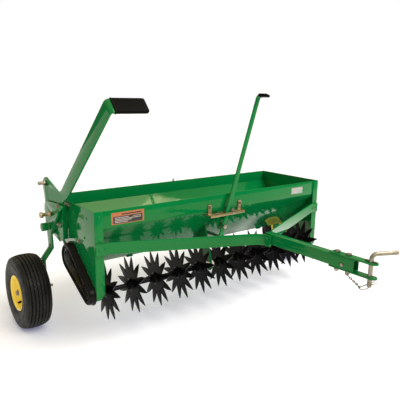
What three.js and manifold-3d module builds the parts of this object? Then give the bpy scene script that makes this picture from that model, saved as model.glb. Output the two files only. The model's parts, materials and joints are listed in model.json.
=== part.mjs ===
// A tow-behind spike aerator with a drop spreader, standing on its tyres in the transport
// position. Millimetres: x to the right as seen from the drawbar's end, y to the rear, z up.
import * as THREE from "three";
import { mergeVertices } from "three/addons/utils/BufferGeometryUtils.js";
import Module from "manifold-3d";

const wasm = await Module();
wasm.setup();

// ---------------------------------------------------------------- driving dimensions
// The machine is laid out from the middle of the star axle, which is y = 0, z = 0 in its group.
const AXLE_BACK = 150.16; // star axle behind the middle of the whole machine's length
const AXLE_HEIGHT = 168; // star axle above the ground
const GAP = 0.4; // clearance between touching pieces

const HALF = 520; // half the length over the two end panels
const PANEL_T = 3;
const SHEET_T = 2.5;
const RIM_Z = 270;
const BAND_Z = 214; // lower edge of the front upright band
const REAR_BAND_Z = 226; // lower edge of the rear one, over the lift shaft
const FRONT_Y = -31; // outer face of the front band
const REAR_Y = 294; // outer face of the rear band
const FLOOR = { front: 108, rear: 158, z: 60 };
const PANEL_FRONT_Y = -34;
const FLANGE_W = 29;

const OUTLET = { count: 12, pitch: 86, r: 11, y: (FLOOR.front + FLOOR.rear) / 2 };

const STAR = { count: 11, pitch: 94, spikes: 12, tipR: 96, rootR: 45, t: 4, offset: -1 };
const SLEEVE = { r: 15, length: 42 };
const STAR_AXLE_R = 8;
const HANGER_X = -48; // half way between the fifth and the sixth star wheel

const AGITATOR = { y: 140, z: 87, r: 6.5, pinR: 2, pinHalf: 20 };
const BUSHING = { r: 12, flangeR: 16, flangeT: 2 };
const CHAIN = { x: -530, pitch: 12.7, axleTeeth: 12, agitatorTeeth: 20 };
const GUARD = { depth: 22, wall: 2.5, topR: 51, lowR: 35 };

const LIFT = { y: 264, z: 167, shaftR: 12, end: 576 };
const BAR = { t: 5.6, lean: 48 }; // flat bar of the lift lever and the wheel arms
const LEVER_X = -HALF - 25; // outer face of the lever plate
const ARM_X = LEVER_X - GAP - BAR.t; // outer face of the arm's head
const LOCK_PIN = { y: -33, z: 51, r: 6 }; // from the lift shaft
const TIP_BOLT = { y: 22, z: 149, r: 6 }; // from the lift shaft

const WHEEL = { x: 640, y: 246, z: -41, r: 127, half: 45, rimR: 57, boltR: 6 };
const ARM_JOG = 32;
const HUB_HALF = 34;

const BRACE = { low: 134, high: 172, t: 6, tab: 42, bend: [37, -226], lap: 28 };
const TUBE = { half: 13, low: 142, high: 177, t: 2.5, front: -588, rear: -249 };
const HITCH = { y: -633, plateT: 5, plateRear: -505, pinR: 6.35 };
const HITCH_BOLTS = [-525, -563];

const LEVER = { x: -22, y: -48, z: 155, lean: 18.2, w: 18, t: 5, top: 492 };
const BRACKET = { left: -98, right: 80, front: -62, z: 203, t: 3, tabW: 16, tabTop: 238 };
const BRACKET_BOLTS = [-76, 66];
const FORK = { z: 117, half: 24, notch: 12.5, front: -58 };

// ---------------------------------------------------------------- materials
const finish = (color, roughness, metalness) =>
  new THREE.MeshStandardMaterial({ color, roughness, metalness });
const green = finish(0x0c7a3c, 0.3, 0.1);
const black = finish(0x141414, 0.5, 0.3);
const plastic = finish(0x161616, 0.4, 0);
const rubber = finish(0x1c1c1c, 0.85, 0);
const yellow = finish(0xe2b92c, 0.35, 0.1);
const zinc = finish(0xb9b9b4, 0.35, 0.9);
const goldZinc = finish(0xb9a25a, 0.4, 0.9);
const nylon = finish(0xd8d6cc, 0.6, 0);

// ---------------------------------------------------------------- solids, joined and cut
function solidOf(geometry) {
  const loose = geometry.index ? geometry.toNonIndexed() : geometry.clone();
  loose.deleteAttribute("normal");
  loose.deleteAttribute("uv");
  const merged = mergeVertices(loose, 1e-3);
  const corner = merged.index.array;
  const triVerts = [];
  for (let i = 0; i < corner.length; i += 3) {
    const [a, b, c] = [corner[i], corner[i + 1], corner[i + 2]];
    if (a !== b && b !== c && c !== a) triVerts.push(a, b, c);
  }
  const vertProperties = merged.attributes.position.array;
  const build = (tris) =>
    new wasm.Manifold(new wasm.Mesh({ numProp: 3, vertProperties, triVerts: new Uint32Array(tris) }));
  const solid = build(triVerts);
  return solid.volume() < 0 ? build(triVerts.reverse()) : solid;
}

function geometryOf(solid) {
  const mesh = solid.getMesh();
  const geometry = new THREE.BufferGeometry();
  geometry.setAttribute("position", new THREE.BufferAttribute(mesh.vertProperties, 3));
  geometry.setIndex(new THREE.BufferAttribute(mesh.triVerts, 1));
  geometry.computeVertexNormals();
  return geometry;
}

const join = (...pieces) => geometryOf(pieces.map(solidOf).reduce((sum, s) => sum.add(s)));
const cut = (...pieces) => geometryOf(pieces.map(solidOf).reduce((rest, s) => rest.subtract(s)));

function part(group, name, material, geometry) {
  const mesh = new THREE.Mesh(geometryOf(solidOf(geometry)), material);
  mesh.name = name;
  group.add(mesh);
  return mesh;
}

function bodyAt(parent, x, y, z) {
  const group = new THREE.Group();
  group.position.set(x, y, z);
  parent.add(group);
  return group;
}

// ---------------------------------------------------------------- outlines
const radians = THREE.MathUtils.degToRad;
const polar = (cx, cy, r, deg) => [cx + r * Math.cos(radians(deg)), cy + r * Math.sin(radians(deg))];

function arc(cx, cy, r, from, to, steps) {
  const list = [];
  for (let i = 0; i <= steps; i += 1) list.push(polar(cx, cy, r, from + ((to - from) * i) / steps));
  return list;
}

function circle(cx, cy, r, sides) {
  const list = [];
  for (let i = 0; i < sides; i += 1) list.push(polar(cx, cy, r, (360 * i) / sides));
  return list;
}

const hexagon = (cx, cy, r) => circle(cx, cy, r, 6);
const rectangle = (x0, x1, y0, y1) => [[x0, y0], [x1, y0], [x1, y1], [x0, y1]];

// A strip of even thickness, on the left of a bent line.
function strip(line, thickness) {
  const unit = (a, b) => new THREE.Vector2(b[0] - a[0], b[1] - a[1]).normalize();
  const edge = line.map((p, i) => {
    const v = i < line.length - 1 ? unit(p, line[i + 1]) : unit(line[i - 1], p);
    const u = i > 0 ? unit(line[i - 1], p) : v;
    const normal = new THREE.Vector2(-(u.y + v.y), u.x + v.x).normalize();
    const reach = thickness / normal.dot(new THREE.Vector2(-u.y, u.x));
    return [p[0] + normal.x * reach, p[1] + normal.y * reach];
  });
  return [...line, ...edge.reverse()];
}

// The outline of a belt round a circle at a and a smaller one at b.
function belt(a, ra, b, rb) {
  const heading = THREE.MathUtils.radToDeg(Math.atan2(b[1] - a[1], b[0] - a[0]));
  const wrap = THREE.MathUtils.radToDeg(Math.acos((ra - rb) / Math.hypot(b[0] - a[0], b[1] - a[1])));
  return [
    ...arc(a[0], a[1], ra, heading + wrap, heading + 360 - wrap, 14),
    ...arc(b[0], b[1], rb, heading - wrap, heading + wrap, 10),
  ];
}

function gear(teeth, pitchR) {
  const list = [];
  for (let i = 0; i < teeth; i += 1) {
    for (const [share, r] of [[-0.3, -2.5], [-0.12, 2.5], [0.12, 2.5], [0.3, -2.5]]) {
      list.push(polar(0, 0, pitchR + r, ((i + share) * 360) / teeth));
    }
  }
  return list;
}

// ---------------------------------------------------------------- geometries
const vectors = (list) => list.map(([x, y]) => new THREE.Vector2(x, y));

function slab(outline, depth, holes = []) {
  const shape = new THREE.Shape(vectors(outline));
  shape.holes = holes.map((hole) => new THREE.Path(vectors(hole)));
  return new THREE.ExtrudeGeometry(shape, { depth, bevelEnabled: false });
}

// Turns a slab's own x, y and depth directions into the three given ones.
function turned(geometry, x, y, depth) {
  const matrix = new THREE.Matrix4().makeBasis(
    new THREE.Vector3(...x),
    new THREE.Vector3(...y),
    new THREE.Vector3(...depth),
  );
  return geometry.applyMatrix4(matrix);
}

// A plate square to x, from one face to the other, with its outline in (y, z).
function acrossX(outline, a, b, holes) {
  const plate = turned(slab(outline, Math.abs(b - a), holes), [0, 1, 0], [0, 0, 1], [1, 0, 0]);
  return plate.translate(Math.min(a, b), 0, 0);
}

// The same square to y, with its outline in (x, z), and square to z, in (x, y).
const acrossY = (outline, a, b, holes) =>
  slab(outline, Math.abs(b - a), holes).rotateX(Math.PI / 2).translate(0, Math.max(a, b), 0);
const acrossZ = (outline, a, b, holes) =>
  slab(outline, Math.abs(b - a), holes).translate(0, 0, Math.min(a, b));

const box = (x, y, z) => acrossZ(rectangle(x[0], x[1], y[0], y[1]), z[0], z[1]);

// A body turned about a line parallel to x; the profile lists (x, radius) pairs.
function turnedX(profile, y, z, sides) {
  const geometry = new THREE.LatheGeometry(vectors(profile.map(([x, r]) => [r, x])), sides);
  return geometry.rotateZ(-Math.PI / 2).translate(0, y, z);
}

const rodX = (r, a, b, y, z, sides = 12) => acrossX(circle(y, z, r, sides), a, b);
const rodY = (r, a, b, x, z, sides = 12) => acrossY(circle(x, z, r, sides), a, b);
const rodZ = (r, a, b, x, y, sides = 12) => acrossZ(circle(x, y, r, sides), a, b);

function tubeAlong(curve, r, sides, steps) {
  const section = new THREE.Shape(vectors(circle(0, 0, r, sides)));
  return new THREE.ExtrudeGeometry(section, { steps, extrudePath: curve, bevelEnabled: false });
}

// ---------------------------------------------------------------- hopper and end panels
const aerator = new THREE.Group();
const machine = bodyAt(aerator, 0, AXLE_BACK, AXLE_HEIGHT);

const slopeY = (z) => FRONT_Y + ((BAND_Z - z) / (BAND_Z - FLOOR.z)) * (FLOOR.front - FRONT_Y);
const outletX = (i) => (i - (OUTLET.count - 1) / 2) * OUTLET.pitch;

function everyOutlet(make) {
  return Array.from({ length: OUTLET.count }, (_, i) => make(outletX(i), i));
}

const GUIDE_XS = [-320, 320];

// A strap welded across the floor, under which the shutter slides.
function shutterGuide(x) {
  const [front, rear, z] = [FLOOR.front + 2, FLOOR.rear - 2, FLOOR.z];
  const line = [[front, z + 1], [front, z - 6], [rear, z - 6], [rear, z + 1]];
  return acrossX(strip(line, SHEET_T), x - 12, x + 12);
}

function hopper() {
  const section = [
    [FRONT_Y, RIM_Z],
    [FRONT_Y, BAND_Z],
    [FLOOR.front, FLOOR.z],
    [FLOOR.rear, FLOOR.z],
    [REAR_Y, REAR_BAND_Z],
    [REAR_Y, RIM_Z],
  ];
  const inside = HALF - PANEL_T - GAP;
  const shell = acrossX(strip(section, SHEET_T), -inside, inside);
  const holes = everyOutlet((x) => rodZ(OUTLET.r, FLOOR.z - 5, FLOOR.z + 5, x, OUTLET.y, 8));
  const guides = GUIDE_XS.map((x) => shutterGuide(x));
  part(machine, "hopper", green, join(cut(shell, ...holes), ...guides));
}

function endPanel(name, side) {
  const outline = [
    [PANEL_FRONT_Y, RIM_Z],
    [REAR_Y, RIM_Z],
    [REAR_Y, 146],
    [236, 132],
    [FLOOR.rear + 6, FLOOR.z - 6],
    [20, -24],
    [-16, -24],
    [PANEL_FRONT_Y, -10],
  ];
  const holes = [
    circle(0, 0, BUSHING.r + GAP, 16),
    circle(AGITATOR.y, AGITATOR.z, BUSHING.r + GAP, 16),
    circle(LIFT.y, LIFT.z, LIFT.shaftR + 2 * GAP, 16),
  ];
  const face = side * HALF;
  const web = acrossX(outline, face, face - side * PANEL_T, holes);
  const edge = face - side * FLANGE_W;
  const flange = [[face, RIM_Z], [edge, RIM_Z], [edge, 4], [face - side * 14, -12], [face, -12]];
  part(machine, name, green, join(web, acrossY(flange, PANEL_FRONT_Y, FRONT_Y - GAP)));
}

hopper();
endPanel("left_end_panel", -1);
endPanel("right_end_panel", 1);

// ---------------------------------------------------------------- braces, drawbar and hitch
const BRACE_BOLT = { y: TUBE.rear - 14, z: 160, r: 5, headR: 8 };

function brace(name, side) {
  const face = TUBE.half + GAP;
  const line = [
    [side * HALF, PANEL_FRONT_Y - GAP],
    [side * (HALF - BRACE.tab), PANEL_FRONT_Y - GAP],
    [side * BRACE.bend[0], BRACE.bend[1]],
    [side * face, TUBE.rear],
    [side * face, TUBE.rear - BRACE.lap],
  ];
  const outline = strip(side < 0 ? line.reverse() : line, BRACE.t);
  const hole = rodX(BRACE_BOLT.r + GAP, -40, 40, BRACE_BOLT.y, BRACE_BOLT.z);
  part(machine, name, green, cut(acrossZ(outline, BRACE.low, BRACE.high), hole));
}

function drawbar() {
  const bore = TUBE.half - TUBE.t;
  const hollow = rectangle(-bore, bore, TUBE.low + TUBE.t, TUBE.high - TUBE.t);
  const outline = rectangle(-TUBE.half, TUBE.half, TUBE.low, TUBE.high);
  const tube = acrossY(outline, TUBE.front, TUBE.rear, [hollow]);
  const holes = HITCH_BOLTS.map((y) => rodZ(5 + GAP, TUBE.low - 5, TUBE.high + 5, 0, y));
  const cross = rodX(BRACE_BOLT.r + GAP, -TUBE.half - 5, TUBE.half + 5, BRACE_BOLT.y, BRACE_BOLT.z);
  part(machine, "drawbar", green, cut(tube, cross, ...holes));
}

// One bolt through both braces' tabs and the drawbar between them.
function braceBolt() {
  const half = TUBE.half + GAP + BRACE.t;
  const { y, z, r, headR } = BRACE_BOLT;
  part(machine, "brace_bolt", green, join(
    rodX(r, -half - 7, half + 11, y, z),
    acrossX(hexagon(y, z, headR), -half - 7, -half - GAP),
    acrossX(hexagon(y, z, headR), half + GAP, half + 8),
  ));
}

const UPPER_PLATE_Z = TUBE.high + GAP;
const LOWER_PLATE_Z = TUBE.low - GAP - HITCH.plateT;

function hitchPlate(name, z) {
  const outline = [
    [-TUBE.half, HITCH.plateRear],
    [-TUBE.half, TUBE.front - 2],
    ...arc(0, HITCH.y - 8, TUBE.half, 180, 360, 8),
    [TUBE.half, TUBE.front - 2],
    [TUBE.half, HITCH.plateRear],
  ];
  const holes = [
    circle(0, HITCH.y, HITCH.pinR + GAP, 16),
    ...HITCH_BOLTS.map((y) => circle(0, y, 5 + GAP, 12)),
  ];
  part(machine, name, green, acrossZ(outline, z, z + HITCH.plateT, holes));
}

function hitchBolt(name, y) {
  const top = UPPER_PLATE_Z + HITCH.plateT + GAP;
  const low = LOWER_PLATE_Z - GAP;
  part(machine, name, zinc, join(
    rodZ(5, low - 11, top + 5, 0, y),
    acrossZ(hexagon(0, y, 8), top, top + 5.5),
    acrossZ(hexagon(0, y, 8), low - 7, low),
  ));
}

brace("left_brace", -1);
brace("right_brace", 1);
drawbar();
braceBolt();
hitchPlate("upper_hitch_plate", UPPER_PLATE_Z);
hitchPlate("lower_hitch_plate", LOWER_PLATE_Z);
hitchBolt("rear_hitch_bolt", HITCH_BOLTS[0]);
hitchBolt("front_hitch_bolt", HITCH_BOLTS[1]);

const PIN = { low: 111, bend: 205, bendR: 15, handle: 64, heading: -26, clipZ: 121 };
const PIN_STOP = { z: 185.4, r: 2.4, half: 19 }; // roll pin through the shank, on the upper plate

function hitchPin() {
  const group = bodyAt(machine, 0, HITCH.y, 0);
  const heading = radians(PIN.heading);
  const out = new THREE.Vector3(Math.cos(heading), Math.sin(heading), 0);
  const corner = new THREE.Vector3(0, 0, PIN.bend);
  const start = new THREE.Vector3(0, 0, PIN.bend - PIN.bendR);
  const exit = corner.clone().addScaledVector(out, PIN.bendR);
  const curve = new THREE.CurvePath();
  curve.add(new THREE.QuadraticBezierCurve3(start, corner, exit));
  curve.add(new THREE.LineCurve3(exit, exit.clone().addScaledVector(out, PIN.handle)));
  const handle = tubeAlong(curve, HITCH.pinR, 12, 8);
  const shank = rodZ(HITCH.pinR, PIN.low, start.z + 0.5, 0, 0);
  const clipHole = rodX(1.9, -10, 10, 0, PIN.clipZ, 8);
  const stop = rodY(PIN_STOP.r, -PIN_STOP.half, PIN_STOP.half, 0, PIN_STOP.z, 8);
  part(group, "hitch_pin", zinc, cut(join(shank, handle, stop), clipHole));

  // The clip's straight leg goes through the pin; its loop comes round and grips the shank.
  const at = (x, y) => new THREE.Vector3(x, y, PIN.clipZ);
  const wire = new THREE.CurvePath();
  wire.add(new THREE.LineCurve3(at(24, 0), at(-34, 0)));
  wire.add(new THREE.CubicBezierCurve3(at(-34, 0), at(-52, 0), at(-52, -16), at(-34, -16)));
  wire.add(new THREE.CubicBezierCurve3(at(-34, -16), at(-20, -16), at(-14, -8.6), at(0, -8.6)));
  wire.add(new THREE.LineCurve3(at(0, -8.6), at(16, -13)));
  part(group, "hairpin_clip", zinc, tubeAlong(wire, 1.5, 6, 26));
}

hitchPin();

// ---------------------------------------------------------------- star wheels on two half axles
// The angle at which each wheel was pushed on, from the left.
const STAR_PHASES = [-6, -1, 8, -8, 9, -2, -14, 4, -3, 10, 11];

function starWheel(group, index) {
  const step = 360 / STAR.spikes;
  const outline = [];
  for (let i = 0; i < STAR.spikes; i += 1) {
    for (const [turn, r] of [[-0.5, STAR.rootR], [-0.018, STAR.tipR], [0.018, STAR.tipR]]) {
      outline.push(polar(0, 0, r, (i + turn) * step));
    }
  }
  const disc = acrossX(outline, -STAR.t / 2, STAR.t / 2);
  const sleeve = rodX(SLEEVE.r, -SLEEVE.length / 2, SLEEVE.length / 2, 0, 0);
  const bore = rodX(STAR_AXLE_R + GAP, -SLEEVE.length, SLEEVE.length, 0, 0);
  const mesh = part(group, `star_wheel_${index + 1}`, black, cut(join(disc, sleeve), bore));
  mesh.position.x = (index - (STAR.count - 1) / 2) * STAR.pitch + STAR.offset;
  mesh.rotation.x = radians(STAR_PHASES[index]);
}

function halfAxle(name, low, high, first, last) {
  const group = bodyAt(machine, 0, 0, 0);
  part(group, name, black, rodX(STAR_AXLE_R, low, high, 0, 0));
  for (let i = first; i <= last; i += 1) starWheel(group, i);
  return group;
}

function hanger() {
  const outline = [
    [slopeY(150) - 1, 150],
    ...arc(0, 0, 22, 190, 320, 6),
    [58, 66],
    [slopeY(80) - 1, 80],
  ];
  const hole = circle(0, 0, 13 + GAP, 16);
  part(machine, "centre_hanger", green, acrossX(outline, HANGER_X - 2.5, HANGER_X + 2.5, [hole]));
  const sleeve = acrossX(circle(0, 0, 13, 16), HANGER_X - 16, HANGER_X + 16, [
    circle(0, 0, STAR_AXLE_R + GAP, 16),
  ]);
  part(machine, "hanger_bushing", nylon, sleeve);
}

// A flanged bushing in an end panel, its flange outside.
function bushing(name, side, y, z, shaftR) {
  const bore = shaftR + GAP;
  const outer = side * (HALF + GAP + BUSHING.flangeT);
  const inner = side * (HALF - PANEL_T - 6);
  const face = side * (HALF + GAP);
  part(machine, name, nylon, turnedX([
    [inner, bore],
    [inner, BUSHING.r],
    [face, BUSHING.r],
    [face, BUSHING.flangeR],
    [outer, BUSHING.flangeR],
    [outer, bore],
    [inner, bore],
  ], y, z, 16));
}

const AXLE_OVERHANG = { left: 18, right: 8 };
const leftGang = halfAxle("left_star_axle", -HALF - AXLE_OVERHANG.left, HANGER_X - 1, 0, 4);
halfAxle("right_star_axle", HANGER_X + 1, HALF + AXLE_OVERHANG.right, 5, STAR.count - 1);
hanger();
bushing("left_axle_bushing", -1, 0, 0, STAR_AXLE_R);
bushing("right_axle_bushing", 1, 0, 0, STAR_AXLE_R);
bushing("left_agitator_bushing", -1, AGITATOR.y, AGITATOR.z, AGITATOR.r);
bushing("right_agitator_bushing", 1, AGITATOR.y, AGITATOR.z, AGITATOR.r);

// ---------------------------------------------------------------- agitator and its chain drive
const pitchRadius = (teeth) => (teeth * CHAIN.pitch) / (2 * Math.PI);

function agitator() {
  const group = bodyAt(machine, 0, AGITATOR.y, AGITATOR.z);
  const { r, pinR, pinHalf } = AGITATOR;
  const pins = everyOutlet((x, i) =>
    (i % 2 ? rodY : rodZ)(pinR, -pinHalf, pinHalf, 0, 0, 6).translate(x, 0, 0));
  const shaft = rodX(r, -HALF - AXLE_OVERHANG.left, HALF + AXLE_OVERHANG.right, 0, 0);
  part(group, "agitator", zinc, join(shaft, ...pins));
  return group;
}

function sprocket(group, name, teeth, shaftR) {
  const bore = circle(0, 0, shaftR + GAP, 12);
  const outline = gear(teeth, pitchRadius(teeth));
  part(group, name, zinc, acrossX(outline, CHAIN.x - 1.5, CHAIN.x + 1.5, [bore]));
}

const agitatorGroup = agitator();
sprocket(leftGang, "axle_sprocket", CHAIN.axleTeeth, STAR_AXLE_R);
sprocket(agitatorGroup, "agitator_sprocket", CHAIN.agitatorTeeth, AGITATOR.r);

function chain() {
  const top = pitchRadius(CHAIN.agitatorTeeth);
  const low = pitchRadius(CHAIN.axleTeeth);
  const loop = (extra) => belt([AGITATOR.y, AGITATOR.z], top + extra, [0, 0], low + extra);
  part(machine, "drive_chain", zinc, acrossX(loop(6), CHAIN.x - 3, CHAIN.x + 3, [loop(3)]));
}

function chainGuard() {
  const loop = (inset) =>
    belt([AGITATOR.y, AGITATOR.z], GUARD.topR - inset, [0, 0], GUARD.lowR - inset);
  const cover = acrossX(loop(0), -HALF - GUARD.depth, -HALF - GAP);
  const hollow = acrossX(loop(GUARD.wall), -HALF - GUARD.depth + GUARD.wall, -HALF + 5);
  part(machine, "chain_guard", plastic, cut(cover, hollow));
}

chain();
chainGuard();

// ---------------------------------------------------------------- lift: shaft, lever, arms, wheels
const lift = bodyAt(machine, 0, LIFT.y, LIFT.z);
part(lift, "lift_shaft", green, rodX(LIFT.shaftR, -LIFT.end, LIFT.end, 0, 0, 16));

const LEAN = radians(BAR.lean);
const UP = [0, -Math.sin(LEAN), Math.cos(LEAN)]; // along the lever's strap
const ACROSS = [0, Math.cos(LEAN), Math.sin(LEAN)]; // from its lower edge to its upper one
const STRAP = { y: -114, z: 145, w: 45, reach: 424, bend: 7, end: 110 };
const onStrap = (along, side) => [
  STRAP.y + along * UP[1] + side * ACROSS[1],
  STRAP.z + along * UP[2] + side * ACROSS[2],
];

function liftLever() {
  const { w, reach, bend, end } = STRAP;
  const outline = [
    onStrap(reach, 0),
    onStrap(reach, -w),
    onStrap(40, -w),
    [-158, 126],
    [-125, 108],
    [-92, 70],
    [-60, 26],
    ...arc(0, 0, 30, 200, 330, 8),
    [32, 58],
    ...arc(20, 137, 32, 0, 125, 8),
    [-91, 133],
    onStrap(0, 0),
  ];
  const holes = [
    circle(0, 0, LIFT.shaftR + GAP, 16),
    circle(LOCK_PIN.y, LOCK_PIN.z, LOCK_PIN.r + GAP, 12),
    circle(TIP_BOLT.y, TIP_BOLT.z, TIP_BOLT.r + GAP, 12),
  ];
  const plate = acrossX(outline, LEVER_X, LEVER_X + BAR.t, holes);

  // The strap's upper end turns at a right angle, over the machine, and carries the grip.
  const outerR = bend + BAR.t;
  const side = [
    [LEVER_X, reach - 1],
    ...arc(LEVER_X + outerR, reach, outerR, 180, 90, 5),
    [LEVER_X + end, reach + outerR],
    [LEVER_X + end, reach + bend],
    ...arc(LEVER_X + outerR, reach, bend, 90, 180, 5),
    [LEVER_X + BAR.t, reach - 1],
  ];
  const down = ACROSS.map((c) => -c);
  const handle = turned(slab(side, w), [1, 0, 0], UP, down).translate(0, STRAP.y, STRAP.z);
  part(lift, "lift_lever", green, join(plate, handle));
}

const GRIP = { start: 13, length: 103, halfW: 25, halfT: 6.5, corner: 4.5 };

function leverGrip() {
  const { start, length, halfW, halfT, corner } = GRIP;
  const rounded = [[1, 1, 0], [-1, 1, 90], [-1, -1, 180], [1, -1, 270]].flatMap(([sx, sy, from]) =>
    arc(sx * (halfW - corner), sy * (halfT - corner), corner, from, from + 90, 3));
  const [clearW, clearT] = [STRAP.w / 2 + GAP, BAR.t / 2 + GAP];
  const slot = rectangle(-clearW, clearW, -clearT, clearT);
  const bar = STRAP.end - start + GAP;
  const [y, z] = onStrap(STRAP.reach + STRAP.bend + BAR.t / 2, -STRAP.w / 2);
  const sleeve = turned(slab(rounded, length), ACROSS, UP, [1, 0, 0]);
  const socket = turned(slab(slot, bar + 1), ACROSS, UP, [1, 0, 0]).translate(-1, 0, 0);
  const grip = cut(sleeve, socket).translate(LEVER_X + start, y, z);
  part(lift, "lever_grip", plastic, grip);
}

const ARM = {
  lean: THREE.MathUtils.radToDeg(Math.atan2(LIFT.y - WHEEL.y, LIFT.z - WHEEL.z)),
  length: Math.hypot(LIFT.y - WHEEL.y, LIFT.z - WHEEL.z),
  w: 40,
  jogFrom: 73,
  jogTo: 112,
};

// A bar from the lift shaft to the wheel bolt: straight down, out by the jog, down again.
function wheelArm(name, side, head) {
  const outer = side * Math.abs(ARM_X);
  const line = [
    [outer, 0],
    [outer, -ARM.jogFrom],
    [outer + side * ARM_JOG, -ARM.jogTo],
    [outer + side * ARM_JOG, -ARM.length],
  ];
  const outline = strip(side < 0 ? line : line.reverse(), BAR.t);
  const bar = acrossY(outline, -ARM.w / 2, ARM.w / 2).rotateX(-radians(ARM.lean));
  const plate = acrossX(head, outer, outer - side * BAR.t);
  const [y, z] = [WHEEL.y - LIFT.y, WHEEL.z - LIFT.z];
  const low = outer + side * ARM_JOG;
  const foot = acrossX(circle(y, z, ARM.w / 2, 24), low, low - side * BAR.t);
  const through = [
    rodX(WHEEL.boltR + GAP, -700, 700, y, z),
    rodX(LIFT.shaftR + GAP, -700, 700, 0, 0, 16),
    rodX(LOCK_PIN.r + GAP, -700, 700, LOCK_PIN.y, LOCK_PIN.z),
  ];
  part(lift, name, green, cut(join(bar, plate, foot), ...through));
}

function tipBolt() {
  const { y, z, r } = TIP_BOLT;
  part(lift, "lever_tip_bolt", zinc, join(
    rodX(r, LEVER_X - 26, LEVER_X + BAR.t + 5, y, z),
    acrossX(hexagon(y, z, 10), LEVER_X - 8, LEVER_X - GAP),
    acrossX(hexagon(y, z, 10), LEVER_X + BAR.t + GAP, LEVER_X + BAR.t + 6),
  ));
}

function lockPin() {
  const group = bodyAt(lift, 0, LOCK_PIN.y, LOCK_PIN.z);
  part(group, "lock_pin", goldZinc, join(
    rodX(LOCK_PIN.r, ARM_X - 39, LEVER_X + BAR.t + GAP, 0, 0),
    rodX(9, ARM_X - 9, ARM_X - 2, 0, 0),
    rodX(10, ARM_X - 39, ARM_X - 30, 0, 0),
  ));
}

// The left arm's head is a quadrant that backs the lever plate; the right one is plain.
const quadrant = [
  ...arc(0, 0, 27, 200, 335, 8),
  [32, 56],
  ...arc(2, 60, 30, 10, 90, 4),
  [-60, 94],
  [-104, 96],
  ...arc(-110, 84, 12, 90, 190, 4),
  [-96, 68],
  [-62, 30],
];
liftLever();
leverGrip();
wheelArm("left_wheel_arm", -1, quadrant);
wheelArm("right_wheel_arm", 1, circle(0, 0, 27, 24));
tipBolt();
lockPin();

const LIFT_BRACKET = { front: 168, outer: 18, t: 3.4 };

function liftBracket(name, side) {
  const { front, outer, t } = LIFT_BRACKET;
  const face = side * (HALF + outer);
  const holes = [
    circle(LIFT.y, LIFT.z, LIFT.shaftR + GAP, 16),
    circle(LIFT.y + LOCK_PIN.y, LIFT.z + LOCK_PIN.z, LOCK_PIN.r + 2 * GAP, 12),
  ];
  const outline = [[front, 258], [front, 141], [199, 125], [292, 146], [292, 216], [280, 258]];
  const web = acrossX(outline, face, face - side * t, holes);
  const seat = side * (HALF + GAP);
  const flange = acrossY([[seat, 141], [face, 141], [face, 258], [seat, 258]], front, front + t);
  part(machine, name, green, join(web, flange));
}

liftBracket("left_lift_bracket", -1);
liftBracket("right_lift_bracket", 1);

function wheel(prefix, side) {
  const [y, z] = [WHEEL.y - LIFT.y, WHEEL.z - LIFT.z];
  const group = bodyAt(lift, side * WHEEL.x, y, z);
  const { half, r, rimR, boltR } = WHEEL;
  const shoulder = [
    [-half + 9, rimR + GAP],
    [-half, r - 42],
    [-half + 2, r - 22],
    [-half + 10, r - 9],
    [-half + 24, r - 2],
  ];
  const other = shoulder.map(([x, radius]) => [-x, radius]).reverse();
  const tread = [...shoulder, [0, r], ...other];
  part(group, `${prefix}_tyre`, rubber, turnedX([...tread, shoulder[0]], 0, 0, 32));

  const bore = boltR + 2 * GAP;
  const face = [
    [-HUB_HALF, bore],
    [-HUB_HALF, 15],
    [-10, 17],
    [-8, 44],
    [-half + 12, 50],
    [-half + 8, rimR],
  ];
  const rest = face.map(([x, radius]) => [-x, radius]).reverse();
  part(group, `${prefix}_rim`, yellow, turnedX([...face, ...rest, face[0]], 0, 0, 24));

  const arm = side * (Math.abs(ARM_X) + ARM_JOG);
  const hub = side * (WHEEL.x - HUB_HALF - GAP);
  const hubEnd = side * (WHEEL.x + HUB_HALF + GAP);
  const back = arm - side * (BAR.t + GAP);
  const hex = hexagon(y, z, 10.5);
  part(lift, `${prefix}_wheel_bolt`, zinc, join(
    rodX(boltR, back - side * 14, hubEnd + side * 8, y, z),
    acrossX(hex, back, back - side * 9),
    acrossX(hex, arm + side * GAP, hub),
    acrossX(hex, hubEnd, hubEnd + side * 8),
  ));
}

wheel("left", -1);
wheel("right", 1);

// ---------------------------------------------------------------- flow control
function flowBracket() {
  const { left, right, front, z, t, tabW, tabTop } = BRACKET;
  const rear = FRONT_Y - GAP;
  const slot = rectangle(left + 14, right - 14, LEVER.y - 10, LEVER.y + 5);
  const outline = [[left, rear], [left + 4, front], [right - 12, front], [right, rear]];
  const shelf = acrossZ(outline, z, z + t, [slot]);
  const lip = box([left + 4, right - 12], [front, front + t], [z - 6, z + t]);
  const tabs = BRACKET_BOLTS.map((x) => box([x - tabW / 2, x + tabW / 2], [rear - t, rear], [z, tabTop]));
  part(machine, "flow_bracket", goldZinc, join(shelf, lip, ...tabs));
}

function stopScrew() {
  const group = bodyAt(machine, 16, LEVER.y - 3, BRACKET.z);
  const top = BRACKET.t + GAP;
  part(group, "stop_screw", zinc, join(
    rodZ(4, -10, top + 11, 0, 0),
    acrossZ(hexagon(0, 0, 8.5), top, top + 6),
    acrossZ(hexagon(0, 0, 8.5), -6, -GAP),
  ));
}

const PIVOT = { half: 17, t: 3, top: 210, boltR: 5 };

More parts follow.
